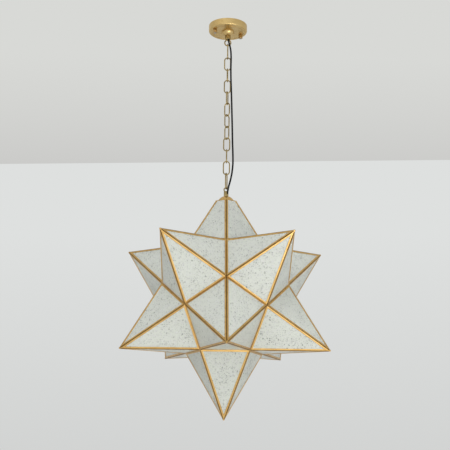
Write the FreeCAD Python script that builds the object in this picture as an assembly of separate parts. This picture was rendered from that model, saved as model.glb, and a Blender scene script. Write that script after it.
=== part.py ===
import FreeCAD, Part
import math
import os

# Moravian star pendant. Millimetres, +Z up. The origin is on the axis, in the ceiling plane, so
# everything hangs in -Z. +X is to the right and -Y is towards the viewer.

Vector = FreeCAD.Vector
UP = Vector(0, 0, 1)
ACROSS = Vector(1, 0, 0)
DEPTH = Vector(0, 1, 0)

# Star: twelve five-sided points on the corners of an icosahedron, their faces in twelve planes.
tip_radius = 297.0  # from the centre to where a point's ridges would meet
top_plate_radius = 28.4  # from the axis to a corner of the plate that closes the top point
came_thickness = 1.0
came_ridge_width = 5.5  # on each side of a ridge
came_valley_width = 4.0  # on each side of a valley
glass_thickness = 3.0
glass_gap = 0.25  # between two panes at a ridge
glass_valley_inset = 0.4
tip_blunting = 2.5  # the tip is cut off this far below the sharp corner
tip_plug_height = 2.5
spigot_length = 2.6  # the tip plug's stub inside the cames
spigot_clearance = 0.02

# Relamping door: the level face behind the top point
door_gap = 1.0
door_tip_gap = 0.6
door_frame_width = 5.5
door_glass_inset = 3.2
knuckle_radius = 2.0
hinge_clearance = 0.3
hinge_length = 44.0
fixed_knuckle_length = 14.0
leaf_thickness = 0.8
leaf_width = 9.0
pin_radius = 1.0
pin_fit = 0.06
pin_overhang = 1.0
knob_radius = 3.0
knob_height = 6.0
knob_from_tip = 26.0

# Chain
link_wire = 3.0
link_length = 38.1
link_width = 18.6
end_link_length = 44.5
link_gap = 0.3
# how far each link's plane is turned from facing the viewer, from the top one down
link_turns = [90, 175, 85, 0, 75, 140, 45, 130, 180, 90, 0, 75]

# Ceiling canopy and what holds it
canopy_radius = 50.8
canopy_height = 18.0
canopy_wall = 1.0
canopy_edge_radius = 4.0
groove_inset = 9.8  # from the canopy's side to the middle of the groove
groove_width = 1.6
groove_depth = 0.4
fixing_angle = 25.6  # of the line through the two thumb nuts
stud_inset = 12.8  # from the canopy's side to a stud's middle
stud_radius = 2.0
stud_clearance = 0.3
thumb_nut_radius = 5.4
thumb_nut_height = 9.0
stud_below_nut = 1.5
knurl_count = 22
knurl_depth = 0.35
bracket_end_clearance = 4.8  # from the bracket's ends to the inside of the canopy
bracket_width = 20.0
bracket_thickness = 2.5
stud_bar_end = 6.0  # from a stud's middle to the end of its bar
stud_bar_width = 14.0
stud_bar_thickness = 2.0
screw_spacing = 60.0
screw_slot_radius = 2.5
screw_slot_length = 14.0
nipple_radius = 4.8
nipple_bore = 3.2
thread_clearance = 0.05
locknut_flats = 14.0
locknut_height = 4.0
bell_height = 10.0
bell_top_radius = 17.0
bell_bottom_radius = 8.0
bell_bulge = 1.2
collar_radius = 7.5
collar_height = 11.0
collar_flutes = 16
collar_flute_depth = 0.4
collar_thread_depth = 6.0
canopy_ring_radius = 9.7
canopy_ring_wire = 3.2
canopy_ring_sink = 0.9  # how far the ring reaches up into the collar
ring_saddle_radius = 4.2
ring_saddle_height = 1.6

# Hanger on top of the star
star_ring_radius = 7.0
star_ring_wire = 3.0
star_ring_sink = 2.5
neck_radius = 6.0
neck_height = 14.0
neck_chamfer = 0.8
dome_height = 12.7
dome_rim_radius = 21.0
dome_flat_radius = 8.0
dome_wall = 1.0
top_plate_thickness = 1.5
star_nipple_radius = 4.0
star_nipple_bore = 2.6
neck_thread_depth = 6.0
star_locknut_flats = 13.0
star_locknut_height = 4.0

# Lampholder for an Edison screw of 26 mm
holder_drop = 20.0  # from the plate's underside to the holder
holder_radius = 19.0
holder_shoulder = 5.0
holder_length = 52.0
holder_thread_depth = 8.0
shell_radius = 13.3
shell_wall = 0.5
shell_clearance = 0.3
shell_length = 26.0
shell_recess = 8.0  # from the holder's mouth up to the shell
contact_radius = 4.0
contact_height = 3.0

# Cord: the corners of its route, from the end of the canopy's nipple to the notch in the star's neck
cord_diameter = 4.5
cord_hole_clearance = 0.3
cord_arc_share = 0.45
cord_start = (1.2, -4.2)  # in the end of the nipple
cord_fall = 417.9  # from the collar to the neck, for the corners below
# across, towards the back, and down from the collar
cord_corners = [
    (1.2, -4.2, 4.0),
    (4.7, -4.7, 15.5),
    (8.1, -5.0, 31.0),
    (9.3, -5.2, 53.0),
    (8.6, -5.4, 78.0),
    (8.9, -5.6, 107.0),
    (10.2, -5.6, 139.0),
    (11.6, -5.4, 175.0),
    (12.7, -5.2, 211.0),
    (14.0, -5.0, 249.0),
    (14.8, -5.0, 287.0),
    (16.4, -5.0, 323.0),
    (16.6, -5.0, 347.0),
    (14.0, -4.9, 373.0),
    (9.6, -4.9, 393.0),
    (4.9, -4.7, 410.0),
    (2.7, -3.5, 425.0),
]

# Regular forms
golden = (1 + math.sqrt(5)) / 2
face_distance = tip_radius / math.sqrt(5)  # from the star's centre to every face's plane
point_slope = 1 / golden  # of a point's section: its corner radius over the distance to its tip
ridge_half_angle = math.atan(golden)  # between a face and the plane that halves a ridge
inner_scale = (face_distance - came_thickness) / face_distance

# What the canopy's size settles
groove_radius = canopy_radius - groove_inset
stud_spacing = 2 * (canopy_radius - stud_inset)
bracket_length = 2 * (canopy_radius - canopy_wall - bracket_end_clearance)
stud_bar_length = stud_spacing + 2 * stud_bar_end

# Heights, from the ceiling down
stud_bar_low = -bracket_thickness - stud_bar_thickness
canopy_bottom = -canopy_height
bell_bottom = canopy_bottom - bell_height
collar_bottom = bell_bottom - collar_height
nipple_bottom = bell_bottom - collar_thread_depth
canopy_ring_centre = collar_bottom + canopy_ring_sink - canopy_ring_radius
canopy_ring_low = canopy_ring_centre - canopy_ring_radius + canopy_ring_wire / 2


def link_heights():
    """The heights of each link's upper and lower wire, at its middle."""
    heights, low, wire = [], canopy_ring_low, canopy_ring_wire
    for number in range(len(link_turns)):
        ends = number in (0, len(link_turns) - 1)
        top = low + (wire + link_wire) / 2 + link_gap
        low = top - ((end_link_length if ends else link_length) - link_wire)
        wire = link_wire
        heights.append((top, low))
    return heights


links = link_heights()
star_ring_top = links[-1][1] + (link_wire + star_ring_wire) / 2 + link_gap
star_ring_centre = star_ring_top - star_ring_radius + star_ring_wire / 2
neck_top = star_ring_centre - star_ring_radius + star_ring_sink
neck_bottom = neck_top - neck_height
plate_top = neck_bottom - dome_height
plate_bottom = plate_top - top_plate_thickness
star_height = plate_top - (tip_radius - top_plate_radius / point_slope)
star_centre = Vector(0, 0, star_height)
star_nipple_top = neck_bottom + neck_thread_depth
holder_top = plate_bottom - holder_drop
holder_bottom = holder_top - holder_length
star_nipple_bottom = holder_top - holder_thread_depth


def cord_line():
    """The corners of the cord's route, spread over the height that the chain leaves."""
    stretch = (collar_bottom - neck_top) / cord_fall
    corners = [Vector(*cord_start, nipple_bottom)]
    for across, back, down in cord_corners:
        corners.append(Vector(across, back, collar_bottom - down * stretch))
    return corners


cord_route = cord_line()


def unit(vector):
    return Vector(vector) / vector.Length


def turned_tube(inner, outer, bottom, top):
    """A round sleeve on the axis."""
    tube = Part.makeCylinder(outer, top - bottom, Vector(0, 0, bottom))
    return tube.cut(Part.makeCylinder(inner, top - bottom, Vector(0, 0, bottom)))


def revolved(edges):
    """The solid that a closed outline of edges in the XZ plane makes round the axis."""
    return Part.Face(Part.Wire(edges)).revolve(Vector(0, 0, 0), UP, 360)


def line(x0, z0, x1, z1):
    return Part.LineSegment(Vector(x0, 0, z0), Vector(x1, 0, z1)).toShape()


def arc(x0, z0, xm, zm, x1, z1):
    return Part.Arc(Vector(x0, 0, z0), Vector(xm, 0, zm), Vector(x1, 0, z1)).toShape()


def hexagon_nut(flats, bore, bottom, top):
    corner = flats / math.sqrt(3)
    corners = [polar(corner, 60 * turn, bottom) for turn in range(6)]
    nut = prism(corners, UP * (top - bottom))
    return nut.cut(Part.makeCylinder(bore, top - bottom, Vector(0, 0, bottom)))


def polar(radius, degrees, height):
    angle = math.radians(degrees)
    return Vector(radius * math.cos(angle), radius * math.sin(angle), height)


def prism(corners, along):
    return Part.Face(Part.makePolygon(corners + corners[:1])).extrude(along)


def knurled(radius, depth, count, bottom, height):
    """A round bar with upright grooves, its ends chamfered by the grooves' depth."""
    step = 360 / count
    corners = []
    for number in range(count):
        corners.append(polar(radius, (number - 0.3) * step, bottom))
        corners.append(polar(radius, (number + 0.3) * step, bottom))
        corners.append(polar(radius - depth, (number + 0.5) * step, bottom))
    bar = prism(corners, UP * height)
    core = Part.makeCylinder(radius, height, Vector(0, 0, bottom))
    rims = [edge for edge in core.Edges if isinstance(edge.Curve, Part.Circle)]
    return bar.common(core.makeChamfer(2 * depth, rims))


# Ceiling fixing and canopy


def fixing_turn(shape):
    turned = shape.copy()
    turned.rotate(Vector(0, 0, 0), UP, fixing_angle)
    return turned


def strap(length, width, thickness, top):
    """A flat bar along X under a height, with a threaded hole on the axis."""
    low = top - thickness
    bar = Part.makeBox(length, width, thickness, Vector(-length / 2, -width / 2, low))
    return bar.cut(Part.makeCylinder(nipple_radius + thread_clearance, thickness, Vector(0, 0, low)))


def bracket():
    """The steel strap on the ceiling, with two slots for the ceiling screws."""
    bar = strap(bracket_length, bracket_width, bracket_thickness, 0)
    for side in (-1, 1):
        bar = bar.cut(screw_slot(side * screw_spacing / 2))
    return bar


def stud_bar():
    """The bar under the strap, turned on the nipple, that carries the two studs."""
    bar = strap(stud_bar_length, stud_bar_width, stud_bar_thickness, -bracket_thickness)
    for side in (-1, 1):
        low = Vector(side * stud_spacing / 2, 0, stud_bar_low)
        bar = bar.cut(Part.makeCylinder(stud_radius + thread_clearance, stud_bar_thickness, low))
    return fixing_turn(bar)


def screw_slot(centre):
    straight = screw_slot_length - 2 * screw_slot_radius
    low = Vector(centre, 0, -bracket_thickness)
    slot = Part.makeBox(
        straight,
        2 * screw_slot_radius,
        bracket_thickness,
        low - Vector(straight / 2, screw_slot_radius, 0),
    )
    for side in (-1, 1):
        end = low + ACROSS * side * straight / 2
        slot = slot.fuse(Part.makeCylinder(screw_slot_radius, bracket_thickness, end))
    return slot


def studs():
    """Two threaded studs, from the bar down through the thumb nuts."""
    low = canopy_bottom - thumb_nut_height - stud_below_nut
    length = -bracket_thickness - low
    places = [Vector(side * stud_spacing / 2, 0, low) for side in (-1, 1)]
    return fixing_turn(Part.Compound([Part.makeCylinder(stud_radius, length, p) for p in places]))


def thumb_nut(side):
    nut = knurled(thumb_nut_radius, knurl_depth, knurl_count, 0, thumb_nut_height)
    nut = nut.cut(Part.makeCylinder(stud_radius + thread_clearance, thumb_nut_height))
    nut.translate(Vector(side * stud_spacing / 2, 0, canopy_bottom - thumb_nut_height))
    return fixing_turn(nut)


def canopy():
    """A round spun dish, open at the ceiling, with a shallow ring pressed into its flat bottom."""
    bend = canopy_radius - canopy_edge_radius
    inner = canopy_radius - canopy_wall
    floor = canopy_bottom + canopy_wall
    shoulder = canopy_bottom + canopy_edge_radius
    lean = math.sqrt(0.5)
    outer_middle = bend + canopy_edge_radius * lean
    inner_bend = canopy_edge_radius - canopy_wall
    hole = nipple_radius + stud_clearance
    dish = revolved(
        [
            line(canopy_radius, 0, canopy_radius, shoulder),
            arc(
                canopy_radius,
                shoulder,
                outer_middle,
                shoulder - canopy_edge_radius * lean,
                bend,
                canopy_bottom,
            ),
            line(bend, canopy_bottom, hole, canopy_bottom),
            line(hole, canopy_bottom, hole, floor),
            line(hole, floor, bend, floor),
            arc(bend, floor, bend + inner_bend * lean, shoulder - inner_bend * lean, inner, shoulder),
            line(inner, shoulder, inner, 0),
            line(inner, 0, canopy_radius, 0),
        ]
    )
    low = canopy_bottom
    groove = turned_tube(
        groove_radius - groove_width / 2, groove_radius + groove_width / 2, low, low + groove_depth
    )
    dish = dish.cut(groove)
    for side in (-1, 1):
        place = Vector(side * stud_spacing / 2, 0, canopy_bottom)
        hole = Part.makeCylinder(stud_radius + stud_clearance, canopy_wall, place)
        dish = dish.cut(fixing_turn(hole))
    return dish


def bell():
    """The turned cup under the canopy, its side slightly bulged."""
    bore = nipple_radius + thread_clearance
    middle = (bell_top_radius + bell_bottom_radius) / 2
    half = (canopy_bottom + bell_bottom) / 2
    return revolved(
        [
            line(bore, canopy_bottom, bell_top_radius, canopy_bottom),
            arc(
                bell_top_radius,
                canopy_bottom,
                middle + bell_bulge,
                half - bell_bulge,
                bell_bottom_radius,
                bell_bottom,
            ),
            line(bell_bottom_radius, bell_bottom, bore, bell_bottom),
            line(bore, bell_bottom, bore, canopy_bottom),
        ]
    )


def canopy_loop():
    """The fluted collar and its ring, with the cord's way out in front of the ring."""
    body = knurled(collar_radius, collar_flute_depth, collar_flutes, collar_bottom, collar_height)
    saddle_low = Vector(0, 0, collar_bottom - ring_saddle_height)
    body = body.fuse(Part.makeCylinder(ring_saddle_radius, ring_saddle_height, saddle_low))
    body = body.fuse(ring(canopy_ring_radius, canopy_ring_wire, canopy_ring_centre))
    thread_low = Vector(0, 0, nipple_bottom)
    thread = nipple_radius + thread_clearance
    body = body.cut(Part.makeCylinder(thread, collar_thread_depth, thread_low))
    way = cord_diameter / 2 + cord_hole_clearance
    exit_low = Vector(cord_route[0].x, cord_route[0].y, collar_bottom - ring_saddle_height)
    return body.cut(Part.makeCylinder(way, nipple_bottom - exit_low.z, exit_low))


def ring(outer_radius, wire, height):
    """A ring of round wire that faces the viewer."""
    return Part.makeTorus(outer_radius - wire / 2, wire / 2, Vector(0, 0, height), DEPTH)


# Chain


def chain_link(top, low, turn):
    """A long round-wire link between the middles of its upper and lower wires."""
    bend = (link_width - link_wire) / 2
    high, deep = top - bend, low + bend
    path = [
        line(bend, deep, bend, high),
        arc(bend, high, 0, top, -bend, high),
        line(-bend, high, -bend, deep),
        arc(-bend, deep, 0, low, bend, deep),
    ]
    wire = Part.Wire([Part.makeCircle(link_wire / 2, Vector(bend, 0, deep), UP)])
    link = Part.Wire(path).makePipeShell([wire], True, False)
    link.rotate(Vector(0, 0, 0), UP, turn)
    return link


# Hanger and lampholder


def star_loop():
    """The ring and neck on the star, with a notch in the neck where the cord goes in."""
    neck = Part.makeCylinder(neck_radius, neck_height, Vector(0, 0, neck_bottom))
    top_rim = [edge for edge in neck.Edges if edge.BoundBox.ZMin > neck_top - neck_chamfer]
    neck = neck.makeChamfer(neck_chamfer, top_rim)
    loop = neck.fuse(ring(star_ring_radius, star_ring_wire, star_ring_centre))
    bore = star_nipple_radius + thread_clearance
    loop = loop.cut(Part.makeCylinder(bore, neck_thread_depth, Vector(0, 0, neck_bottom)))
    end = cord_route[-1]
    back_along = unit(cord_route[-2] - end)
    way = cord_diameter / 2 + cord_hole_clearance
    loop = loop.cut(Part.makeCylinder(way, neck_height, end, back_along))
    throat = end.z - star_nipple_top + way
    return loop.cut(Part.makeCylinder(star_nipple_bore, throat, Vector(0, 0, star_nipple_top)))


def dome():
    """The thin round cap over the top plate: part of a sphere with a flat top."""
    drop = dome_height
    spread = dome_rim_radius**2 - dome_flat_radius**2
    rise = (spread + drop**2) / (2 * drop)  # from the sphere's centre to the flat
    centre = neck_bottom - rise
    sphere = math.hypot(dome_flat_radius, rise)
    inner = sphere - dome_wall
    under = neck_bottom - dome_wall
    inner_flat = math.sqrt(inner**2 - (under - centre) ** 2)
    inner_rim = math.sqrt(inner**2 - (plate_top - centre) ** 2)
    half = math.radians(45)
    bore = star_nipple_radius + thread_clearance
    return revolved(
        [
            line(bore, neck_bottom, dome_flat_radius, neck_bottom),
            arc(
                dome_flat_radius,
                neck_bottom,
                sphere * math.sin(half),
                centre + sphere * math.cos(half),
                dome_rim_radius,
                plate_top,
            ),
            line(dome_rim_radius, plate_top, inner_rim, plate_top),
            arc(
                inner_rim,
                plate_top,
                inner * math.sin(half),
                centre + inner * math.cos(half),
                inner_flat,
                under,
            ),
            line(inner_flat, under, bore, under),
            line(bore, under, bore, neck_bottom),
        ]
    )


def top_plate():
    """The five-cornered plate on the cut end of the top point."""
    corners = [ridge_at(tips["top"], inner, top_plate_radius / point_slope) for inner in
               inner_corners(tips["top"])]
    flat = [Vector(corner.x, corner.y, plate_bottom) for corner in corners]
    plate = prism(flat, UP * top_plate_thickness)
    bore = star_nipple_radius + thread_clearance
    return plate.cut(Part.makeCylinder(bore, top_plate_thickness, Vector(0, 0, plate_bottom)))


def lampholder():
    """A moulded body, shouldered at the top, with a cup for the screw shell."""
    cup = shell_radius + shell_wall + shell_clearance
    cup_top = holder_bottom + shell_recess + shell_length + contact_height
    bore = star_nipple_radius + thread_clearance
    thread = star_nipple_bottom
    shoulder_radius = holder_radius - holder_shoulder
    return revolved(
        [
            line(bore, holder_top, shoulder_radius, holder_top),
            line(shoulder_radius, holder_top, holder_radius, holder_top - holder_shoulder),
            line(holder_radius, holder_top - holder_shoulder, holder_radius, holder_bottom),
            line(holder_radius, holder_bottom, cup, holder_bottom),
            line(cup, holder_bottom, cup, cup_top),
            line(cup, cup_top, star_nipple_bore, cup_top),
            line(star_nipple_bore, cup_top, star_nipple_bore, thread),
            line(star_nipple_bore, thread, bore, thread),
            line(bore, thread, bore, holder_top),
        ]
    )


def screw_shell():
    """The shell that the lamp screws into, hung from the cup's floor."""
    low = holder_bottom + shell_recess
    top = low + shell_length + contact_height
    outer = shell_radius + shell_wall
    tube = turned_tube(shell_radius, outer, low, top)
    return tube.fuse(turned_tube(contact_radius, outer, top - shell_wall, top))


# Star. Its pieces are worked out round its own centre, then moved to where it hangs.


def tip_directions():
    """The directions of the twelve points, named as the viewer sees them."""
    flat, rise = 2 / math.sqrt(5), 1 / math.sqrt(5)
    upper = ["front_right", "right", "back", "left", "front_left"]
    lower = ["front", "right", "back_right", "back_left", "left"]
    found = {"top": UP, "bottom": UP * -1}
    for number in range(5):
        for level, names, first in ((rise, upper, 36), (-rise, lower, 0)):
            angle = math.radians(first + 72 * number)
            name = ("upper_" if level > 0 else "lower_") + names[number]
            found[name] = Vector(flat * math.sin(angle), -flat * math.cos(angle), level)
    return found


tips = tip_directions()


def ring_round(tip):
    """The five points round a point, in order."""
    near = [other for other in tips.values() if abs(other.dot(tip) - 1 / math.sqrt(5)) < 0.01]
    side = unit(near[0] - tip * near[0].dot(tip))
    other_side = tip.cross(side)
    return sorted(near, key=lambda other: math.atan2(other.dot(other_side), other.dot(side)))


def inner_corner(tip, left, right):
    """Where the ridges of three neighbouring points meet."""
    middle = unit(tip + left + right)
    return middle * (face_distance / middle.dot(tip))


def inner_corners(tip):
    round_it = ring_round(tip)
    return [inner_corner(tip, round_it[number - 1], round_it[number]) for number in range(5)]


def star_face(tip, neighbour):
    """A face of a point, next to a neighbouring one: its tip and two inner corners."""
    round_it = ring_round(tip)
    place = next(i for i, other in enumerate(round_it) if other.dot(neighbour) > 0.99)
    before, after = round_it[place - 1], round_it[(place + 1) % 5]
    return (
        tip * tip_radius,
        inner_corner(tip, before, neighbour),
        inner_corner(tip, neighbour, after),
    )


def moved_in(corner, first, first_inset, second, second_inset):
    """A corner whose sides, towards first and second, have been moved inwards."""
    a, b = unit(first - corner), unit(second - corner)
    return corner + (a * second_inset + b * first_inset) / a.cross(b).Length


def inset_face(face, ridge_inset, valley_inset):
    tip, left, right = face
    return (
        moved_in(tip, left, ridge_inset, right, ridge_inset),
        moved_in(left, tip, ridge_inset, right, valley_inset),
        moved_in(right, tip, ridge_inset, left, valley_inset),
    )


def wall(points):
    """A four-cornered wall, in two triangles where it isn't flat."""
    a, b, c, d = points
    if abs((b - a).cross(c - a).dot(d - a)) < 1e-6:
        return [points]
    return [[a, b, c], [a, c, d]]


def closed_solid(polygons):
    faces = [Part.Face(Part.makePolygon(points + points[:1])) for points in polygons]
    shell = Part.Shell(faces)
    shell.sewShape()
    solid = Part.Solid(shell)
    if solid.Volume < 0:
        solid.reverse()
    return solid


def came(start, end, halves):
    """A bent brass strip over a line of the star, with a flange on one face or on both.

    A half is its flange's two inner corners and its face's direction.
    """
    polygons = []
    low_start, low_end = start * inner_scale, end * inner_scale
    for inner_start, inner_end, normal in halves:
        down = normal * came_thickness
        under_start, under_end = inner_start - down, inner_end - down
        polygons.append([start, end, inner_end, inner_start])
        polygons.append([low_start, low_end, under_end, under_start])
        polygons.append([inner_start, inner_end, under_end, under_start])
        polygons += wall([start, inner_start, under_start, low_start])
        polygons += wall([end, inner_end, under_end, low_end])
    if len(halves) == 1:
        polygons.append([start, end, low_end, low_start])
    return closed_solid(polygons)


def is_door(tip, neighbour):
    return tip == tips["upper_back"] and neighbour == tips["top"]


def ridge_cames(tip):
    """The five cames of a point, still sharp at its tip."""
    round_it = ring_round(tip)
    made = []
    for number in range(5):
        sides = (round_it[number - 1], round_it[number])
        corner = inner_corner(tip, *sides)
        halves = []
        for side in sides:
            if not is_door(tip, side):
                inner = inset_face(star_face(tip, side), came_ridge_width, came_valley_width)
                nearest = min(inner[1:], key=lambda point: (point - corner).Length)
                halves.append((inner[0], nearest, side))
        made.append(came(tip * tip_radius, corner, halves))
    return made


def beyond(tip, distance):
    """The space past a distance from the centre, at a point's tip."""
    reach = tip_radius - distance + 10
    return Part.makeCylinder(2 * reach, reach, tip * distance, tip)


def tip_cut(tip):
    """How far from the centre a point's cames end."""
    if tip == tips["top"]:
        return plate_bottom - star_height
    return tip_radius - tip_blunting - tip_plug_height


def point_frame(tip):
    end = beyond(tip, tip_cut(tip))
    return Part.Compound([bar.cut(end) for bar in ridge_cames(tip)])


def valley_cames():
    """The thirty cames in the valleys between neighbouring points."""
    made = []
    names = list(tips)
    for index, name in enumerate(names):
        for other_name in names[index + 1 :]:
            tip, other = tips[name], tips[other_name]
            if tip.dot(other) < 0.4 or tip.dot(other) > 0.9:
                continue
            start, end = star_face(tip, other)[1:]
            halves = []
            for owner, side in ((tip, other), (other, tip)):
                if not is_door(owner, side):
                    inner = inset_face(star_face(owner, side), came_ridge_width, came_valley_width)
                    pair = sorted(inner[1:], key=lambda point: (point - start).Length)
                    halves.append((pair[0], pair[1], side))
            made.append(came(start, end, halves))
    return Part.Compound(made)


def glass_ridge_inset():
    """A pane's edge lies this far from its ridge, so that two panes' inner edges don't meet."""
    depth = came_thickness + glass_thickness
    return depth / math.tan(ridge_half_angle) + glass_gap


def pane(face, normal, ridge_inset, valley_inset):
    corners = inset_face(face, ridge_inset, valley_inset)
    outer = [corner - normal * came_thickness for corner in corners]
    return prism(outer, normal * -glass_thickness)


def point_glass(tip):
    """The panes of a point, behind its cames."""
    made = []
    for side in ring_round(tip):
        if not is_door(tip, side):
            sheet = pane(star_face(tip, side), side, glass_ridge_inset(), glass_valley_inset)
            made.append(sheet.cut(beyond(tip, tip_cut(tip) - glass_gap)))
    return Part.Compound(made)


def ridge_at(tip, corner, depth):
    """The point on a ridge at a depth below the sharp tip, measured along the point's axis."""
    sharp = tip * tip_radius
    along = corner - sharp
    return sharp + along * (depth / -along.dot(tip))


def frustum(tip, top_depth, low_depth, scale):
    """The part of a point between two depths, of the star scaled about its centre."""
    wires = []
    for depth in (top_depth, low_depth):
        own_depth = (depth - tip_radius * (1 - scale)) / scale
        corners = [ridge_at(tip, corner, own_depth) * scale for corner in inner_corners(tip)]
        wires.append(Part.makePolygon(corners + corners[:1]))
    return Part.makeLoft(wires, True, True)


def tip_plug(tip):
    """The blunt brass end of a point, with a stub inside its cames."""
    joint = tip_blunting + tip_plug_height
    end = frustum(tip, tip_blunting, joint, 1)
    stub_scale = inner_scale - spigot_clearance / face_distance
    stub = frustum(tip, joint, joint + spigot_length, stub_scale)
    return end.fuse(stub)


# Door, in the level face behind the top point


def hinge_line():
    """The middle of the hinge's axis: the same distance from both faces of the valley."""
    valley = star_face(tips["upper_back"], tips["top"])[1:]
    off = knuckle_radius + hinge_clearance
    middle = (valley[0] + valley[1]) / 2
    return middle + DEPTH * (off / math.tan(ridge_half_angle)) + UP * off


def leaf(spans, side):
    """A hinge leaf and its knuckles, on the axis at the origin, lying along +Y on a face.

    The face is under the leaf for side -1 and over it for side 1.
    """
    face = knuckle_radius + hinge_clearance
    clear = knuckle_radius + hinge_clearance
    far = face * side
    near = far - leaf_thickness * side
    low = min(far, near)
    half = hinge_length / 2
    made = Part.makeBox(hinge_length, leaf_width - clear, leaf_thickness, Vector(-half, clear, low))
    for start, end in spans:
        tab = Part.makeBox(end - start, clear, leaf_thickness, Vector(start, 0, low))
        barrel = Part.makeCylinder(knuckle_radius, end - start, Vector(start, 0, 0), ACROSS)
        made = made.fuse([tab, barrel])
    bore = Part.makeCylinder(pin_radius + pin_fit, hinge_length, Vector(-half, 0, 0), ACROSS)
    return made.cut(bore)


def hinge_leaf():
    """The fixed leaf, on the top point's face."""
    half = fixed_knuckle_length / 2
    made = leaf([(-half, half)], 1)
    made.rotate(Vector(0, 0, 0), ACROSS, math.degrees(2 * ridge_half_angle))
    made.translate(hinge_line())
    return made


def hinge_pin():
    half = hinge_length / 2 + pin_overhang
    return Part.makeCylinder(pin_radius, 2 * half, hinge_line() - ACROSS * half, ACROSS)


def door_frame():
    """The door's flat frame with its hinge leaf and a small knob."""
    tip = tips["upper_back"]
    face = star_face(tip, tips["top"])
    width = door_gap + door_frame_width
    outer = list(inset_face(face, door_gap, door_gap))
    inner = list(inset_face(face, width, width))
    down = UP * -came_thickness
    plate = prism(outer, down).cut(prism(inner, down))
    plate = plate.cut(beyond(tip, tip_cut(tip) - door_tip_gap))
    outside, inside = hinge_length / 2, fixed_knuckle_length / 2 + hinge_clearance
    own_leaf = leaf([(-outside, -inside), (inside, outside)], -1)
    own_leaf.translate(hinge_line())
    foot = Vector(0, face[0].y - knob_from_tip, face[0].z)
    return plate.fuse([own_leaf, knob(foot)])


def knob(foot):
    """A turned knob: a narrow stem on a foot and a rounded head."""
    stem = Part.makeCylinder(knob_radius / 2, knob_height / 2, foot)
    seat = Part.makeCylinder(knob_radius, came_thickness, foot - UP * came_thickness)
    head_low = foot + UP * (knob_height / 2)
    head = Part.makeCylinder(knob_radius, knob_height / 2, head_low)
    rims = [edge for edge in head.Edges if isinstance(edge.Curve, Part.Circle)]
    return stem.fuse([seat, head.makeFillet(knob_height / 6, rims)])


def door_glass():
    face = star_face(tips["upper_back"], tips["top"])
    return pane(face, UP, door_glass_inset, door_glass_inset)


# Cord


def cord():
    """A tube of straight runs joined by tangent arcs, each as large as its runs allow."""
    edges, here, length, radii = [], cord_route[0], 0, []
    for before, corner, after in zip(cord_route, cord_route[1:], cord_route[2:]):
        back, onward = unit(before - corner), unit(after - corner)
        reach = cord_arc_share * min((before - corner).Length, (after - corner).Length)
        half_turn = (math.pi - back.getAngle(onward)) / 2
        radius = reach / math.tan(half_turn)
        start, end = corner + back * reach, corner + onward * reach
        inward = unit(back + onward)
        middle = corner + inward * (radius / math.cos(half_turn) - radius)
        edges.append(Part.LineSegment(here, start).toShape())
        edges.append(Part.Arc(start, middle, end).toShape())
        here = end
        radii.append(round(radius))
    edges.append(Part.LineSegment(here, cord_route[-1]).toShape())
    length = sum(edge.Length for edge in edges)
    along = unit(cord_route[1] - cord_route[0])
    section = Part.Wire([Part.makeCircle(cord_diameter / 2, cord_route[0], along)])
    tube = Part.Wire(edges).makePipeShell([section], True, False)
    expected = math.pi * cord_diameter**2 / 4 * length
    print(f"cord: length {length:.1f} mm, radii {radii}")
    print(f"cord: volume {tube.Volume:.1f} against section times length {expected:.1f}")
    return tube


def ceiling_pieces():
    thread = nipple_radius + thread_clearance
    nut_low = stud_bar_low - locknut_height
    return {
        "ceiling_bracket": bracket(),
        "stud_bar": stud_bar(),
        "bracket_studs": studs(),
        "canopy": canopy(),
        "thumb_nut_left": thumb_nut(-1),
        "thumb_nut_right": thumb_nut(1),
        "canopy_bell": bell(),
        "canopy_nipple": turned_tube(nipple_bore, nipple_radius, nipple_bottom, 0),
        "canopy_locknut": hexagon_nut(locknut_flats, thread, nut_low, stud_bar_low),
        "canopy_loop": canopy_loop(),
    }


def chain_pieces():
    made = {}
    for number, (top, low) in enumerate(links, start=1):
        made[f"chain_link_{number:02d}"] = chain_link(top, low, link_turns[number - 1])
    return made


def hanger_pieces():
    thread = star_nipple_radius + thread_clearance
    nut_low = plate_bottom - star_locknut_height
    return {
        "star_loop": star_loop(),
        "cap_dome": dome(),
        "top_plate": top_plate(),
        "star_nipple": turned_tube(
            star_nipple_bore, star_nipple_radius, star_nipple_bottom, star_nipple_top
        ),
        "star_locknut": hexagon_nut(star_locknut_flats, thread, nut_low, plate_bottom),
        "lampholder": lampholder(),
        "screw_shell": screw_shell(),
    }


def star_pieces():
    made = {"valley_came": valley_cames()}
    plugged = [tip for name, tip in tips.items() if name != "top"]
    made["point_tips"] = Part.Compound([tip_plug(tip) for tip in plugged])
    for name, tip in tips.items():
        made[f"frame_{name}"] = point_frame(tip)
        made[f"glass_{name}"] = point_glass(tip)
    made["hinge_leaf"] = hinge_leaf()
    made["hinge_pin"] = hinge_pin()
    made["door_frame"] = door_frame()
    made["door_glass"] = door_glass()
    for shape in made.values():
        shape.translate(star_centre)
    return made


def main():
    os.makedirs("parts", exist_ok=True)
    pieces = ceiling_pieces() | chain_pieces() | hanger_pieces() | star_pieces()
    pieces["power_cord"] = cord()
    for name, shape in pieces.items():
        shape.exportStep(f"parts/{name}.step")
    print(f"{len(pieces)} parts, star centre at {star_height:.1f} mm")


main()
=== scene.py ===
import math

import bmesh
import bpy
from mathutils import Matrix, Vector


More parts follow.
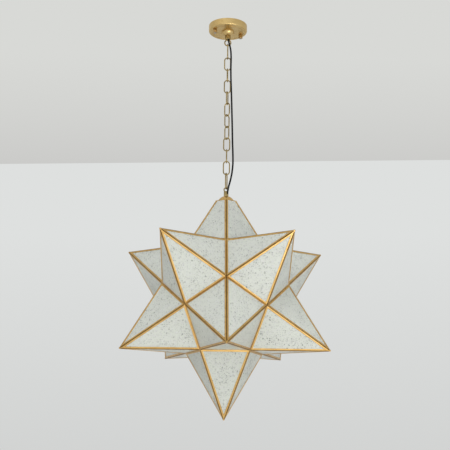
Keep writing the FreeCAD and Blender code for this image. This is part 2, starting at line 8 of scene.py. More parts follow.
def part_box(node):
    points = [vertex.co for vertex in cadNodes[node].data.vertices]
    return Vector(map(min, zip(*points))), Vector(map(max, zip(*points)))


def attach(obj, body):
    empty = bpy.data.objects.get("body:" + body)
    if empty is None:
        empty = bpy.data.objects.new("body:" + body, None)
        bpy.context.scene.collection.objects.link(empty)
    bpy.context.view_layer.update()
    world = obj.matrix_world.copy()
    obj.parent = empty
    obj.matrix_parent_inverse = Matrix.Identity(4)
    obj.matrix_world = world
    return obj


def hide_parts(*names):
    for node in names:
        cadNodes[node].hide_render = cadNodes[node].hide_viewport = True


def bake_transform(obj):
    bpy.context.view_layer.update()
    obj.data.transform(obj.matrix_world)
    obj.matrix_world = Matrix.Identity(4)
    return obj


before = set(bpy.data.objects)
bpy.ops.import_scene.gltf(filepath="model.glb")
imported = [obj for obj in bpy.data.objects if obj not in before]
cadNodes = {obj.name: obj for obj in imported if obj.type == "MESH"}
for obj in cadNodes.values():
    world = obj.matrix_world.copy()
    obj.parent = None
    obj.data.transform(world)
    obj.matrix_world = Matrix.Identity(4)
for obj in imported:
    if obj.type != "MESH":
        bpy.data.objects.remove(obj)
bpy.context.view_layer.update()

print("frame loaded:", len(cadNodes), "nodes")


# camera

viewpoint = {
    "position": (-0.0402, -2.2071, -1.0505),
    "forward": (0.01687, 0.97460, 0.22331),
    "up": (-0.01516, -0.22306, 0.97470),
    "lens": 71.43,
    "sensor": 36.0,
}


def placeCamera():
    data = bpy.data.cameras.new("roomCamera")
    data.lens = viewpoint["lens"]
    data.sensor_width = viewpoint["sensor"]
    camera = bpy.data.objects.new("roomCamera", data)
    bpy.context.scene.collection.objects.link(camera)
    back = -Vector(viewpoint["forward"]).normalized()
    right = Vector(viewpoint["up"]).cross(back).normalized()
    turn = Matrix((right, back.cross(right), back)).transposed()
    camera.matrix_world = Matrix.Translation(viewpoint["position"]) @ turn.to_4x4()
    bpy.context.scene.camera = camera


placeCamera()
bpy.context.scene.view_settings.view_transform = "Standard"
print("camera placed")


# cord: one smooth line from the collar to the star's neck, in a stretch for each hinge of the chain

cordPlan = {
    "diameter": 0.0045,
    "sides": 14,
    "stepsPerSpan": 20,
    "corners": [
        (0.0012, -0.0042, -0.0340),
        (0.0012, -0.0042, -0.0430),
        (0.0047, -0.0047, -0.0545),
        (0.0081, -0.0050, -0.0700),
        (0.0093, -0.0052, -0.0920),
        (0.0086, -0.0054, -0.1170),
        (0.0089, -0.0056, -0.1460),
        (0.0102, -0.0056, -0.1780),
        (0.0116, -0.0054, -0.2140),
        (0.0127, -0.0052, -0.2500),
        (0.0140, -0.0050, -0.2880),
        (0.0148, -0.0050, -0.3260),
        (0.0164, -0.0050, -0.3620),
        (0.0166, -0.0050, -0.3860),
        (0.0140, -0.0049, -0.4120),
        (0.0096, -0.0049, -0.4320),
        (0.0049, -0.0047, -0.4490),
        (0.0027, -0.0035, -0.4640),
    ],
    # where one stretch hands over to the next, between two hinges
    "handovers": [
        -0.0750,
        -0.1100,
        -0.1417,
        -0.1735,
        -0.2053,
        -0.2371,
        -0.2689,
        -0.3007,
        -0.3325,
        -0.3643,
        -0.3961,
        -0.4311,
    ],
}


def cordLine():
    curve = bpy.data.curves.new("cordRoute", "CURVE")
    curve.dimensions = "3D"
    spline = curve.splines.new("NURBS")
    spline.points.add(len(cordPlan["corners"]) - 1)
    for point, corner in zip(spline.points, cordPlan["corners"]):
        point.co = (*corner, 1)
    spline.order_u = 3
    spline.use_endpoint_u = True
    spline.resolution_u = cordPlan["stepsPerSpan"]
    route = bpy.data.objects.new("cordRoute", curve)
    bpy.context.scene.collection.objects.link(route)
    mesh = bpy.data.meshes.new_from_object(route)
    line = [vertex.co.copy() for vertex in mesh.vertices]
    bpy.data.meshes.remove(mesh)
    bpy.data.objects.remove(route)
    return line


def ringsAlong(line, radius, sides):
    rings = []
    side = Vector((1, 0, 0))
    for index, point in enumerate(line):
        before = line[max(index - 1, 0)]
        after = line[min(index + 1, len(line) - 1)]
        along = (after - before).normalized()
        side = (side - along * side.dot(along)).normalized()
        other = along.cross(side)
        ring = []
        for number in range(sides):
            angle = 2 * math.pi * number / sides
            ring.append(point + (side * math.cos(angle) + other * math.sin(angle)) * radius)
        rings.append(ring)
    return rings


def linkPiece(name, bm, materials, sharpAngle=35):
    mesh = bpy.data.meshes.new(name)
    bm.normal_update()
    bm.to_mesh(mesh)
    bm.free()
    for material in materials:
        mesh.materials.append(material)
    mesh.polygons.foreach_set("use_smooth", [True] * len(mesh.polygons))
    mesh.set_sharp_from_angle(angle=math.radians(sharpAngle))
    piece = bpy.data.objects.new(name, mesh)
    bpy.context.scene.collection.objects.link(piece)
    return piece


def tubePiece(name, rings):
    bm = bmesh.new()
    rows = [[bm.verts.new(point) for point in ring] for ring in rings]
    count = len(rows[0])
    for near, far in zip(rows, rows[1:]):
        for number in range(count):
            after = (number + 1) % count
            bm.faces.new((near[number], near[after], far[after], far[number]))
    bm.faces.new(list(reversed(rows[0])))
    bm.faces.new(rows[-1])
    bmesh.ops.recalc_face_normals(bm, faces=bm.faces)
    return linkPiece(name, bm, [])


def makeCord():
    line = cordLine()
    rings = ringsAlong(line, cordPlan["diameter"] / 2, cordPlan["sides"])
    cuts = [0]
    for height in cordPlan["handovers"]:
        cuts.append(min(range(len(line)), key=lambda index: abs(line[index].z - height)))
    cuts.append(len(line) - 1)
    stretches = []
    for number, (first, last) in enumerate(zip(cuts, cuts[1:])):
        piece = tubePiece(f"cordStretch_{number + 1:02d}", rings[first : last + 1])
        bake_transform(piece)
        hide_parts("power_cord")
        stretches.append(piece)
    return stretches


cordStretches = makeCord()
print("cord made in", len(cordStretches), "stretches")


# star: brass strips over every ridge and valley

starPlan = {
    "tipRadius": 0.297,
    "bluntEnd": 0.0025,
    "stripEnd": 0.0050,
    "ridgeWidth": 0.0055,
    "valleyWidth": 0.0040,
    "topStripEnd": 0.249486,
    # across one side of a ridge strip from its middle: millimetres in from the ridge, and above the face
    "ridgeProfile": [
        (0.90, -1.456),
        (1.00, -0.95),
        (1.15, -0.60),
        (1.40, -0.30),
        (1.75, -0.10),
        (2.20, -0.01),
        (2.60, 0.00),
        (4.80, 0.00),
        (5.15, -0.06),
        (5.38, -0.22),
        (5.50, -0.50),
        (5.50, -0.95),
        (1.60, -0.95),
        (1.25, -2.02),
    ],
    "ridgeGrooveFaces": 3,
    # the same across one side of a valley strip
    "valleyProfile": [
        (-0.25, -0.405),
        (0.05, -0.22),
        (0.35, -0.06),
        (0.70, 0.00),
        (3.40, 0.00),
        (3.72, -0.06),
        (3.92, -0.22),
        (4.00, -0.50),
        (4.00, -0.95),
        (-0.58, -0.95),
    ],
    "valleyGrooveFaces": 2,
}

faceDistance = starPlan["tipRadius"] / math.sqrt(5)
starCentre = Vector((0, 0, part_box("point_tips")[0].z + starPlan["tipRadius"] - starPlan["bluntEnd"]))


def pointDirections():
    flat = 2 / math.sqrt(5)
    rise = 1 / math.sqrt(5)
    upper = ["front_right", "right", "back", "left", "front_left"]
    lower = ["front", "right", "back_right", "back_left", "left"]
    found = {"top": Vector((0, 0, 1)), "bottom": Vector((0, 0, -1))}
    for number in range(5):
        for height, prefix, names, first in ((rise, "upper_", upper, 36), (-rise, "lower_", lower, 0)):
            angle = math.radians(first + 72 * number)
            direction = Vector((flat * math.sin(angle), -flat * math.cos(angle), height))
            found[prefix + names[number]] = direction
    return found


points = pointDirections()


def pointsRound(tip):
    near = [other for other in points.values() if abs(other.dot(tip) - 1 / math.sqrt(5)) < 0.01]
    side = (near[0] - tip * near[0].dot(tip)).normalized()
    other = tip.cross(side)
    return sorted(near, key=lambda found: math.atan2(found.dot(other), found.dot(side)))


def innerCorner(tip, left, right):
    middle = (tip + left + right).normalized()
    return middle * (faceDistance / middle.dot(tip))


def starFace(tip, neighbour):
    around = pointsRound(tip)
    place = next(index for index, other in enumerate(around) if other.dot(neighbour) > 0.99)
    left = innerCorner(tip, around[place - 1], neighbour)
    right = innerCorner(tip, neighbour, around[(place + 1) % 5])
    return tip * starPlan["tipRadius"], left, right


def movedIn(corner, first, firstInset, second, secondInset):
    a = (first - corner).normalized()
    b = (second - corner).normalized()
    return corner + (a * secondInset + b * firstInset) / a.cross(b).length


def insetFace(face):
    tip, left, right = face
    ridge = starPlan["ridgeWidth"]
    valley = starPlan["valleyWidth"]
    return (
        movedIn(tip, left, ridge, right, ridge),
        movedIn(left, tip, ridge, right, valley),
        movedIn(right, tip, ridge, left, valley),
    )


def isDoor(tip, neighbour):
    return tip == points["upper_back"] and neighbour == points["top"]


def addHalfStrip(bm, start, end, innerStart, innerEnd, normal, profile, width, grooveFaces):
    rows = []
    for inset, height in profile:
        share = inset / 1000 / width
        lift = normal * (height / 1000) + starCentre
        near = start.lerp(innerStart, share) + lift
        far = end.lerp(innerEnd, share) + lift
        rows.append((bm.verts.new(near), bm.verts.new(far)))
    for index, (near, far) in enumerate(rows):
        nextNear, nextFar = rows[(index + 1) % len(rows)]
        face = bm.faces.new((near, far, nextFar, nextNear))
        # the first faces of each profile, down in the groove, take the second material: brass painted dark,
        # which is painted shade in the fold
        face.material_index = 1 if index < grooveFaces else 0
    bm.faces.new([near for near, far in rows])
    bm.faces.new([far for near, far in rows])


def cutBeyond(bm, tip, distance):
    everything = bm.verts[:] + bm.edges[:] + bm.faces[:]
    place = starCentre + tip * distance
    bmesh.ops.bisect_plane(bm, geom=everything, plane_co=place, plane_no=tip, clear_outer=True)
    openEdges = [edge for edge in bm.edges if edge.is_boundary]
    bmesh.ops.holes_fill(bm, edges=openEdges, sides=0)


def ridgeStrips(name, tip):
    bm = bmesh.new()
    for side in pointsRound(tip):
        if isDoor(tip, side):
            continue
        face = starFace(tip, side)
        inner = insetFace(face)
        for corner, innerEnd in zip(face[1:], inner[1:]):
            addHalfStrip(
                bm,
                face[0],
                corner,
                inner[0],
                innerEnd,
                side,
                starPlan["ridgeProfile"],
                starPlan["ridgeWidth"],
                starPlan["ridgeGrooveFaces"],
            )
    end = starPlan["topStripEnd"] if name == "top" else starPlan["tipRadius"] - starPlan["stripEnd"]
    cutBeyond(bm, tip, end)
    bmesh.ops.recalc_face_normals(bm, faces=bm.faces)
    return bm


def valleyStrips():
    bm = bmesh.new()
    for tip in points.values():
        for side in pointsRound(tip):
            if isDoor(tip, side):
                continue
            face = starFace(tip, side)
            inner = insetFace(face)
            addHalfStrip(
                bm,
                face[1],
                face[2],
                inner[1],
                inner[2],
                side,
                starPlan["valleyProfile"],
                starPlan["valleyWidth"],
                starPlan["valleyGrooveFaces"],
            )
    bmesh.ops.recalc_face_normals(bm, faces=bm.faces)
    return bm


# helpers for materials

# places of a mix node's colour sockets
mixLow = 6
mixHigh = 7
mixOut = 2

# the part of a noise that most of it lies in
noiseSpan = (0.3, 0.7)


def colour(red, green, blue):
    channels = []
    for value in (red / 255, green / 255, blue / 255):
        channels.append(value / 12.92 if value <= 0.04045 else ((value + 0.055) / 1.055) ** 2.4)
    return (*channels, 1.0)


def addNode(tree, kind, place, values=None, **settings):
    node = tree.nodes.new(kind)
    node.location = (place[0] * 220, place[1] * -220)
    for name, value in settings.items():
        setattr(node, name, value)
    for name, value in (values or {}).items():
        node.inputs[name].default_value = value
    return node


def wire(tree, source, output, target, entry):
    tree.links.new(source.outputs[output], target.inputs[entry])


def newMaterial(name, values):
    material = bpy.data.materials.new(name)
    material.use_nodes = True
    tree = material.node_tree
    tree.nodes.clear()
    shader = addNode(tree, "ShaderNodeBsdfPrincipled", (4, 0), values)
    out = addNode(tree, "ShaderNodeOutputMaterial", (6, 0))
    wire(tree, shader, "BSDF", out, "Surface")
    return material, tree, shader


def newGroup(name, inputs, outputs):
    group = bpy.data.node_groups.new(name, "ShaderNodeTree")
    for label, start in inputs.items():
        socket = group.interface.new_socket(name=label, in_out="INPUT", socket_type="NodeSocketFloat")
        socket.default_value = start
    for label in outputs:
        group.interface.new_socket(name=label, in_out="OUTPUT", socket_type="NodeSocketFloat")
    entry = addNode(group, "NodeGroupInput", (-4, 0))
    leave = addNode(group, "NodeGroupOutput", (4, 0))
    return group, entry, leave


def useGroup(tree, group, place, values):
    node = addNode(tree, "ShaderNodeGroup", place, node_tree=group)
    for name, value in values.items():
        node.inputs[name].default_value = value
    return node


def mixColours(tree, place, mask, maskOutput, low, high):
    mix = addNode(tree, "ShaderNodeMix", place, data_type="RGBA")
    mix.inputs[mixLow].default_value = low
    mix.inputs[mixHigh].default_value = high
    wire(tree, mask, maskOutput, mix, 0)
    return mix


def mapRange(tree, place, source, output, low, high, toLow, toHigh):
    node = addNode(tree, "ShaderNodeMapRange", place)
    node.inputs["From Min"].default_value = low
    node.inputs["From Max"].default_value = high
    node.inputs["To Min"].default_value = toLow
    node.inputs["To Max"].default_value = toHigh
    wire(tree, source, output, node, "Value")
    return node


def setRoughness(tree, shader, source, output, span, roughness):
    rough = mapRange(tree, (2, 1), source, output, *span, *roughness)
    wire(tree, rough, "Result", shader, "Roughness")


def setBump(tree, shader, source, output, strength, distance):
    bump = addNode(tree, "ShaderNodeBump", (2, 2), {"Strength": strength, "Distance": distance})
    wire(tree, source, output, bump, "Height")
    wire(tree, bump, "Normal", shader, "Normal")


# patches of tarnish, and a fine mottle for roughness and bump


def makeTarnishGroup():
    group, entry, leave = newGroup("tarnishPatches", {"Scale": 25, "Cover": 0.5}, ["Patches", "Mottle"])
    place = addNode(group, "ShaderNodeTexCoord", (-3, 1))
    broad = addNode(group, "ShaderNodeTexNoise", (-2, 0), {"Detail": 5, "Roughness": 0.62})
    wire(group, place, "Object", broad, "Vector")
    wire(group, entry, "Scale", broad, "Scale")
    spread = addNode(group, "ShaderNodeMapRange", (0, 0), {"From Min": 0.38, "From Max": 0.68})
    wire(group, broad, "Fac", spread, "Value")
    cover = addNode(group, "ShaderNodeMath", (2, 0), operation="MULTIPLY")
    wire(group, spread, "Result", cover, 0)
    wire(group, entry, "Cover", cover, 1)
    wire(group, cover, "Value", leave, "Patches")
    finer = addNode(group, "ShaderNodeMath", (-3, 2), {1: 14.0}, operation="MULTIPLY")
    wire(group, entry, "Scale", finer, 0)
    fine = addNode(group, "ShaderNodeTexNoise", (-2, 2), {"Detail": 3, "Roughness": 0.55})
    wire(group, place, "Object", fine, "Vector")
    wire(group, finer, "Value", fine, "Scale")
    wire(group, fine, "Fac", leave, "Mottle")
    return group


# rings that a lathe leaves round the hanging axis


def makeSpunGroup():
    group, entry, leave = newGroup("spunRings", {"Rings": 1400, "Unevenness": 0.35}, ["Height", "Tone"])
    place = addNode(group, "ShaderNodeTexCoord", (-3, 0))
    parts = addNode(group, "ShaderNodeSeparateXYZ", (-2, 0))
    wire(group, place, "Object", parts, "Vector")
    flat = addNode(group, "ShaderNodeCombineXYZ", (-1, 0))
    wire(group, parts, "X", flat, "X")
    wire(group, parts, "Y", flat, "Y")
    radius = addNode(group, "ShaderNodeVectorMath", (0, 0), operation="LENGTH")
    wire(group, flat, "Vector", radius, 0)
    along = addNode(group, "ShaderNodeMath", (0, 1), operation="ADD")
    wire(group, radius, "Value", along, 0)
    wire(group, parts, "Z", along, 1)
    lines = addNode(group, "ShaderNodeTexNoise", (2, 0), {"Detail": 2, "Roughness": 0.7}, noise_dimensions="1D")
    wire(group, along, "Value", lines, "W")
    wire(group, entry, "Rings", lines, "Scale")
    wire(group, lines, "Fac", leave, "Height")
    soft = addNode(group, "ShaderNodeMath", (3, 1), operation="MULTIPLY")
    wire(group, lines, "Fac", soft, 0)
    wire(group, entry, "Unevenness", soft, 1)
    wire(group, soft, "Value", leave, "Tone")
    return group


tarnishPatches = makeTarnishGroup()
spunRings = makeSpunGroup()


brassFinishes = {
    "stripBrass": {
        "bright": colour(218, 180, 114),
        "dull": colour(180, 136, 72),
        "patchScale": 22,
        "cover": 0.55,
        "roughness": (0.24, 0.38),
        "bump": 0.00004,
    },
    # groove faces along the fold of each strip: brass painted dark brown, which is painted shade and a painted
    # dark reflection in the fold
    "grooveShadeBrass": {
        "bright": colour(102, 66, 28),
        "dull": colour(64, 40, 16),
        "patchScale": 40,
        "cover": 0.8,
        "roughness": (0.42, 0.6),
        "bump": 0.00006,
    },
    "turnedBrass": {
        "bright": colour(192, 166, 120),
        "dull": colour(152, 122, 78),
        "patchScale": 45,
        "cover": 0.6,
        "roughness": (0.26, 0.42),
        "bump": 0.00003,
    },
    "chainBrass": {
        "bright": colour(182, 160, 110),
        "dull": colour(104, 86, 50),
        "patchScale": 60,
        "cover": 0.7,
        "roughness": (0.2, 0.36),
        "bump": 0.00004,
    },
}


def makeBrass(name):
    finish = brassFinishes[name]
    material, tree, shader = newMaterial(name, {"Metallic": 1.0})
    patches = useGroup(
        tree, tarnishPatches, (0, 0), {"Scale": finish["patchScale"], "Cover": finish["cover"]}
    )
    tone = mixColours(tree, (2, 0), patches, "Patches", finish["bright"], finish["dull"])
    wire(tree, tone, mixOut, shader, "Base Color")
    setRoughness(tree, shader, patches, "Mottle", noiseSpan, finish["roughness"])
    setBump(tree, shader, patches, "Mottle", 0.6, finish["bump"])
    return material


def makeSpunBrass():
    finish = {
        "bright": colour(222, 194, 136),
        "dull": colour(188, 154, 92),
        "rings": 1500,
        "roughness": (0.26, 0.44),
    }
    material, tree, shader = newMaterial("spunBrass", {"Metallic": 1.0, "Anisotropic": 0.4})
    patches = useGroup(tree, tarnishPatches, (0, 0), {"Scale": 30, "Cover": 0.45})
    rings = useGroup(tree, spunRings, (0, 2), {"Rings": finish["rings"], "Unevenness": 0.5})
    both = addNode(tree, "ShaderNodeMath", (1, 1), operation="ADD", use_clamp=True)
    wire(tree, patches, "Patches", both, 0)
    wire(tree, rings, "Tone", both, 1)
    tone = mixColours(tree, (2, 0), both, "Value", finish["bright"], finish["dull"])
    wire(tree, tone, mixOut, shader, "Base Color")
    setRoughness(tree, shader, rings, "Height", noiseSpan, finish["roughness"])
    setBump(tree, shader, rings, "Height", 0.5, 0.00003)
    return material


def makeSteel(name, bright, dull):
    material, tree, shader = newMaterial(name, {"Metallic": 1.0})
    patches = useGroup(tree, tarnishPatches, (0, 0), {"Scale": 70, "Cover": 0.7})
    tone = mixColours(tree, (2, 0), patches, "Patches", bright, dull)
    wire(tree, tone, mixOut, shader, "Base Color")
    setRoughness(tree, shader, patches, "Mottle", noiseSpan, (0.3, 0.5))
    return material


def makeHolderPlastic():
    material, tree, shader = newMaterial("holderPlastic", {"Coat Roughness": 0.3})
    patches = useGroup(tree, tarnishPatches, (0, 0), {"Scale": 90, "Cover": 0.6})
    tone = mixColours(tree, (2, 0), patches, "Patches", colour(62, 58, 52), colour(48, 45, 41))
    wire(tree, tone, mixOut, shader, "Base Color")
    setRoughness(tree, shader, patches, "Mottle", noiseSpan, (0.35, 0.55))
    setBump(tree, shader, patches, "Mottle", 0.4, 0.00005)
    return material


def makeCordPlastic():
    material, tree, shader = newMaterial("cordPlastic", {"Specular IOR Level": 0.12})
    patches = useGroup(tree, tarnishPatches, (0, 0), {"Scale": 120, "Cover": 0.7})
    tone = mixColours(tree, (2, 0), patches, "Patches", colour(10, 10, 10), colour(22, 21, 20))
    wire(tree, tone, mixOut, shader, "Base Color")
    setRoughness(tree, shader, patches, "Mottle", noiseSpan, (0.42, 0.62))
    setBump(tree, shader, patches, "Mottle", 0.5, 0.00005)
    return material


# glass full of seeds: small bubbles in two sizes, thicker in some places than in others

glassPlan = {
    "clear": colour(248, 251, 242),
    "seedDark": colour(36, 42, 32),
    "seedLight": colour(255, 255, 254),
    # how fine the seeds are, and where each one's edge begins and ends
    "largeSeeds": (190, 0.14, 0.46),
    "smallSeeds": (430, 0.20, 0.54),
    # the share of cells without a seed, and where a seed is at its strongest
    "strength": (0.3, 0.75),
    "patchSpan": (0.35, 0.65),
    "thinnest": 0.45,
    "roughness": (0.28, 0.45),
    "bump": 0.0006,
}


def makeSeededGlass():
    values = {"IOR": 1.45, "Transmission Weight": 0.55}
    material, tree, shader = newMaterial("seededGlass", values)
    place = addNode(tree, "ShaderNodeTexCoord", (-5, 0))
    broad = addNode(tree, "ShaderNodeTexNoise", (-4, 2), {"Scale": 26, "Detail": 3})
    wire(tree, place, "Object", broad, "Vector")
    patchy = mapRange(tree, (-3, 3), broad, "Fac", *glassPlan["patchSpan"], glassPlan["thinnest"], 1)
    darkSpots = []
    lightSpots = []
    sizes = (glassPlan["largeSeeds"], glassPlan["smallSeeds"])
    for row, (size, low, high) in enumerate(sizes):
        seeds = addNode(tree, "ShaderNodeTexVoronoi", (-4, row), {"Scale": size, "Randomness": 1.0})
        wire(tree, place, "Object", seeds, "Vector")
        spot = mapRange(tree, (-3, row), seeds, "Distance", low, high, 1, 0)
        kinds = addNode(tree, "ShaderNodeSeparateColor", (-3, row + 1))
        wire(tree, seeds, "Color", kinds, "Color")
        for channel, found in (("Red", darkSpots), ("Green", lightSpots)):
            some = mapRange(tree, (-2, row), kinds, channel, *glassPlan["strength"], 0, 1)
            part = addNode(tree, "ShaderNodeMath", (-1, row), operation="MULTIPLY")
            wire(tree, spot, "Result", part, 0)
            wire(tree, some, "Result", part, 1)
            found.append(part)
    dark = addNode(tree, "ShaderNodeMath", (0, 0), operation="MAXIMUM")
    wire(tree, darkSpots[0], "Value", dark, 0)
    wire(tree, darkSpots[1], "Value", dark, 1)
    dense = addNode(tree, "ShaderNodeMath", (1, 0), operation="MULTIPLY")
    wire(tree, dark, "Value", dense, 0)
    wire(tree, patchy, "Result", dense, 1)
    light = addNode(tree, "ShaderNodeMath", (0, 1), operation="MAXIMUM")
    wire(tree, lightSpots[0], "Value", light, 0)
    wire(tree, lightSpots[1], "Value", light, 1)
    tone = mixColours(tree, (2, 0), dense, "Value", glassPlan["clear"], glassPlan["seedDark"])
    both = addNode(tree, "ShaderNodeMix", (3, 0), data_type="RGBA")
    both.inputs[mixHigh].default_value = glassPlan["seedLight"]
    wire(tree, light, "Value", both, 0)
    wire(tree, tone, mixOut, both, mixLow)
    wire(tree, both, mixOut, shader, "Base Color")
    setRoughness(tree, shader, broad, "Fac", glassPlan["patchSpan"], glassPlan["roughness"])
    setBump(tree, shader, dense, "Value", 0.5, glassPlan["bump"])
    return material


finishes = {name: makeBrass(name) for name in brassFinishes}
finishes["spunBrass"] = makeSpunBrass()
finishes["zincSteel"] = makeSteel("zincSteel", colour(196, 198, 200), colour(158, 160, 164))
finishes["shellSteel"] = makeSteel("shellSteel", colour(206, 200, 184), colour(170, 162, 144))
finishes["holderPlastic"] = makeHolderPlastic()
finishes["cordPlastic"] = makeCordPlastic()
finishes["seededGlass"] = makeSeededGlass()
print("materials made:", len(finishes))


# strips in place of the plain ones

for pointName, tip in points.items():
    strips = linkPiece(
        f"ridgeStrips_{pointName}",
        ridgeStrips(pointName, tip),
        [finishes["stripBrass"], finishes["grooveShadeBrass"]],
    )
    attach(strips, "star")
    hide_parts(f"frame_{pointName}")

valleys = linkPiece(
    "valleyStrips", valleyStrips(), [finishes["stripBrass"], finishes["grooveShadeBrass"]]
)
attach(valleys, "star")
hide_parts("valley_came")
print("strips made")


# finishes for the nodes that keep their own shape

nodeFinishes = {
    "ceiling_bracket": "zincSteel",
    "stud_bar": "zincSteel",
    "bracket_studs": "zincSteel",
    "canopy_locknut": "zincSteel",
    "star_locknut": "zincSteel",
    "canopy": "spunBrass",
    "canopy_bell": "spunBrass",
    "cap_dome": "stripBrass",
    "top_plate": "stripBrass",
    "point_tips": "stripBrass",
    "door_frame": "stripBrass",
    "hinge_leaf": "stripBrass",
    "hinge_pin": "turnedBrass",
    "thumb_nut_left": "turnedBrass",
    "thumb_nut_right": "turnedBrass",
    "canopy_nipple": "turnedBrass",
    "star_nipple": "turnedBrass",
    "canopy_loop": "chainBrass",
    "star_loop": "chainBrass",
    "lampholder": "holderPlastic",
    "screw_shell": "shellSteel",
    "door_glass": "seededGlass",
}
for number in range(1, 13):
    nodeFinishes[f"chain_link_{number:02d}"] = "chainBrass"
for pointName in points:
    nodeFinishes[f"glass_{pointName}"] = "seededGlass"

for nodeName, finishName in nodeFinishes.items():
    for slot in cadNodes[nodeName].material_slots:
        slot.material = finishes[finishName]
for piece in cordStretches:
    piece.data.materials.append(finishes["cordPlastic"])
print("finishes given to", len(nodeFinishes), "nodes")


# room: a pale ceiling and wall that glow with a painted tone, painted light and shade, and show only from
# inside, and a floor

roomPlan = {
    "wallLeft": (-0.9003, 1.3210),
    "wallRight": (0.9102, 1.1644),
    "reach": 2.0,
    "ceilingHeight": 0.0003,
    "ceilingReach": 3.0,
    "floorHeight": -2.4,
    "floorReach": 4.0,
    # the heights between which the wall's tone changes, painted shade that darkens it towards the floor, and
    # the depths for the ceiling's, painted shade that darkens it towards the wall
    "wallShadeSpan": (-1.9, -0.3),
    "ceilingShadeSpan": (0.2, 1.3),
    "wallHigh": colour(222, 224, 223),
    "wallShadeLow": colour(198, 199, 198),
    "ceilingNear": colour(216, 217, 214),
    "ceilingShadeFar": colour(203, 203, 201),
    "floor": colour(230, 229, 225),
    "floorPatches": colour(222, 221, 217),
}


def flatPiece(name, corners, material):
    bm = bmesh.new()
    bm.faces.new([bm.verts.new(corner) for corner in corners])
    plane = linkPiece(name, bm, [material])
    plane.visible_shadow = False


# wall and ceiling glow with a tone mixed along one axis, painted light and shade, seen by camera, glossy and
# transmission rays from the front only
def makeRoomMaterial(name, axis, span, lowColour, highColour):
    material = bpy.data.materials.new(name)
    material.use_nodes = True
    tree = material.node_tree
    tree.nodes.clear()
    place = addNode(tree, "ShaderNodeTexCoord", (-4, 0))
    parts = addNode(tree, "ShaderNodeSeparateXYZ", (-3, 0))
    wire(tree, place, "Object", parts, "Vector")
    spread = mapRange(tree, (-2, 0), parts, axis, *span, 0, 1)
    tone = mixColours(tree, (-1, 0), spread, "Result", lowColour, highColour)
    glow = addNode(tree, "ShaderNodeEmission", (1, 0))
    wire(tree, tone, mixOut, glow, "Color")
    rays = addNode(tree, "ShaderNodeLightPath", (-3, 2))
    seen = addNode(tree, "ShaderNodeMath", (-2, 2), operation="MAXIMUM")
    wire(tree, rays, "Is Camera Ray", seen, 0)
    wire(tree, rays, "Is Glossy Ray", seen, 1)
    through = addNode(tree, "ShaderNodeMath", (-1, 2), operation="MAXIMUM")
    wire(tree, seen, "Value", through, 0)
    wire(tree, rays, "Is Transmission Ray", through, 1)
    sides = addNode(tree, "ShaderNodeNewGeometry", (-2, 3))
    front = addNode(tree, "ShaderNodeMath", (-1, 3), {0: 1.0}, operation="SUBTRACT")
    wire(tree, sides, "Backfacing", front, 1)
    shown = addNode(tree, "ShaderNodeMath", (0, 2), operation="MULTIPLY")
    wire(tree, through, "Value", shown, 0)
    wire(tree, front, "Value", shown, 1)
    clear = addNode(tree, "ShaderNodeBsdfTransparent", (1, 1))
    mix = addNode(tree, "ShaderNodeMixShader", (2, 0))
    wire(tree, shown, "Value", mix, 0)
    wire(tree, clear, "BSDF", mix, 1)
    wire(tree, glow, "Emission", mix, 2)
    out = addNode(tree, "ShaderNodeOutputMaterial", (3, 0))
    wire(tree, mix, "Shader", out, "Surface")
    return material


def makeFloorMaterial():
    material, tree, shader = newMaterial("paleFloor", {"Roughness": 0.8})
    patches = useGroup(tree, tarnishPatches, (0, 0), {"Scale": 3, "Cover": 0.3})
    tone = mixColours(tree, (2, 0), patches, "Patches", roomPlan["floor"], roomPlan["floorPatches"])
    wire(tree, tone, mixOut, shader, "Base Color")
    return material


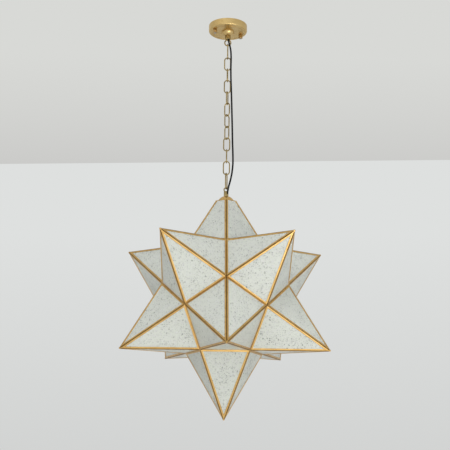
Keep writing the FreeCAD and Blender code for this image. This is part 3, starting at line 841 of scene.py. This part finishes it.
def makeRoom():
    left = Vector(roomPlan["wallLeft"])
    right = Vector(roomPlan["wallRight"])
    along = (right - left).normalized()
    left -= along * roomPlan["reach"]
    right += along * roomPlan["reach"]
    low = roomPlan["floorHeight"]
    wallTone = makeRoomMaterial(
        "paleWall", "Z", roomPlan["wallShadeSpan"], roomPlan["wallShadeLow"], roomPlan["wallHigh"]
    )
    wallCorners = [(*left, low), (*right, low), (*right, 0.0), (*left, 0.0)]
    flatPiece("roomWall", wallCorners, wallTone)
    ceilingTone = makeRoomMaterial(
        "paleCeiling", "Y", roomPlan["ceilingShadeSpan"], roomPlan["ceilingNear"], roomPlan["ceilingShadeFar"]
    )
    top = roomPlan["ceilingHeight"]
    side = roomPlan["ceilingReach"]
    ceilingCorners = [(-side, -side, top), (*left, top), (*right, top), (side, -side, top)]
    flatPiece("roomCeiling", ceilingCorners, ceilingTone)
    side = roomPlan["floorReach"]
    floorCorners = [(-side, -side, low), (side, -side, low), (side, side, low), (-side, side, low)]
    flatPiece("roomFloor", floorCorners, makeFloorMaterial())


makeRoom()


# light: an even pale surrounding with two soft lamps

lampPlan = {
    "keyLamp": {"position": (-0.7, -2.2, 0.9), "size": 2.2, "power": 34},
    "fillLamp": {"position": (0.9, -2.3, -1.9), "size": 2.0, "power": 30},
}
surroundings = {"colour": colour(240, 242, 244), "strength": 0.84, "shown": colour(222, 224, 223)}


def makeLamps():
    aim = Vector((0, 0, -0.7))
    for name, lamp in lampPlan.items():
        data = bpy.data.lights.new(name, "AREA")
        data.shape = "DISK"
        data.size = lamp["size"]
        data.energy = lamp["power"]
        light = bpy.data.objects.new(name, data)
        bpy.context.scene.collection.objects.link(light)
        light.location = lamp["position"]
        light.rotation_euler = (aim - light.location).to_track_quat("-Z", "Y").to_euler()
        light.visible_camera = False


def makeSurroundings():
    world = bpy.data.worlds.new("paleSurroundings")
    bpy.context.scene.world = world
    world.use_nodes = True
    tree = world.node_tree
    tree.nodes.clear()
    lit = addNode(tree, "ShaderNodeBackground", (0, 0))
    lit.inputs["Color"].default_value = surroundings["colour"]
    lit.inputs["Strength"].default_value = surroundings["strength"]
    shown = addNode(tree, "ShaderNodeBackground", (0, 1))
    shown.inputs["Color"].default_value = surroundings["shown"]
    rays = addNode(tree, "ShaderNodeLightPath", (-2, 2))
    mix = addNode(tree, "ShaderNodeMixShader", (1, 0))
    wire(tree, rays, "Is Camera Ray", mix, 0)
    wire(tree, lit, "Background", mix, 1)
    wire(tree, shown, "Background", mix, 2)
    out = addNode(tree, "ShaderNodeOutputWorld", (2, 0))
    wire(tree, mix, "Shader", out, "Surface")


makeLamps()
makeSurroundings()
print("room and lamps made")
